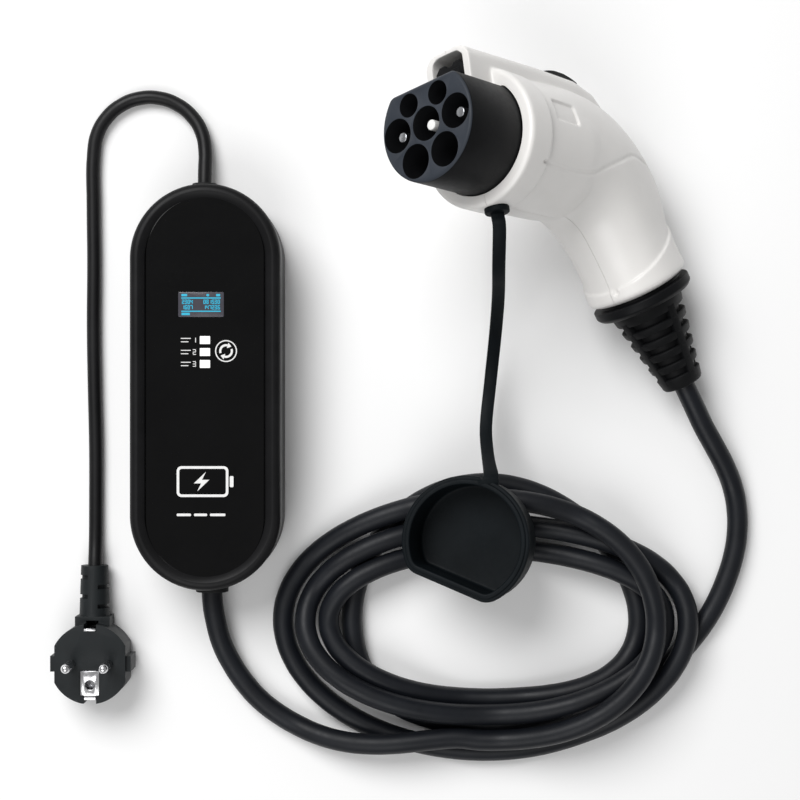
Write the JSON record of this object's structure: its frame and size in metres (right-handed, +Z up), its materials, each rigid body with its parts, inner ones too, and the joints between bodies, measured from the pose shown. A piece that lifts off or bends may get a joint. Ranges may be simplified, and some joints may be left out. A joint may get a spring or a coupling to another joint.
{
  "type": "portable ev charger",
  "caption": "Portable electric-car charger: stadium-shaped control box, mains lead with angled earthed plug, coiled cable and a hand gun with latch, thumb button and tethered dust cap.",
  "frame": {"origin": "middle of the control box's back face, which lies on the ground", "axes": "+Z up out of the box's front panel, +Y along the box towards the mains lead's entry, +X towards the gun"},
  "size_m": [0.3618, 0.3563, 0.1424],
  "materials": {
    "case": "satin",
    "seal": "matt",
    "panel": "gloss",
    "display": "gloss",
    "window": "gloss",
    "board": "satin",
    "module": "matt",
    "relay": "satin",
    "terminal": "satin",
    "steel": "satin",
    "plug": "matt",
    "nickel": "polished",
    "lead": "satin",
    "cable": "satin",
    "shell": "satin",
    "nose": "matt",
    "brass": "satin",
    "black": "satin",
    "rubber": "matt"
  },
  "bodies": {
    "charger": {"rear_case": "case", "front_case": "case", "case_gasket": "seal", "front_panel": "panel", "display_module": "display", "indicator_windows": "window", "control_board": "board", "main_board": "board", "power_module": "module", "relays": "relay", "leakage_sensor": "module", "terminal_block": "terminal", "input_grommet": "seal", "output_grommet": "seal", "case_screws": "steel", "plug_body": "plug", "plug_pins": "nickel", "earth_clip": "nickel", "mains_lead": "lead", "charge_cable_in": "cable", "charge_cable_coil": "cable", "charge_cable_out": "cable", "gun_left_shell": "shell", "gun_right_shell": "shell", "nose": "nose", "contact_carrier": "module", "power_contacts": "brass", "signal_contacts": "brass", "latch_pin": "steel", "latch_spring": "steel", "latch_switch": "module", "handle_end_ring": "black", "gun_strain_relief": "rubber", "gun_cable_clamp": "module", "shell_screws": "steel", "tether_strap": "rubber", "dust_cap": "rubber"},
    "latch": {"latch_lever": "black"},
    "button": {"release_button": "black"}
  },
  "joints": [
    {"name": "latch_swing", "type": "hinge", "parent": "charger", "child": "latch", "pos_m": [0.14436, 0.14587, 0.07652], "axis": [-0.7252, -0.2359, -0.6469], "range_deg": [0, 5.7], "stiffness_Nm_per_rad": 0.6},
    {"name": "button_press", "type": "slide", "parent": "charger", "child": "button", "axis": [0.1156, -0.9679, 0.2233], "range_m": [0, 0.0035]}
  ],
  "couplings": [
    {"joint": "button_press", "follows": "latch_swing", "m_per_rad": 0.035178}
  ]
}
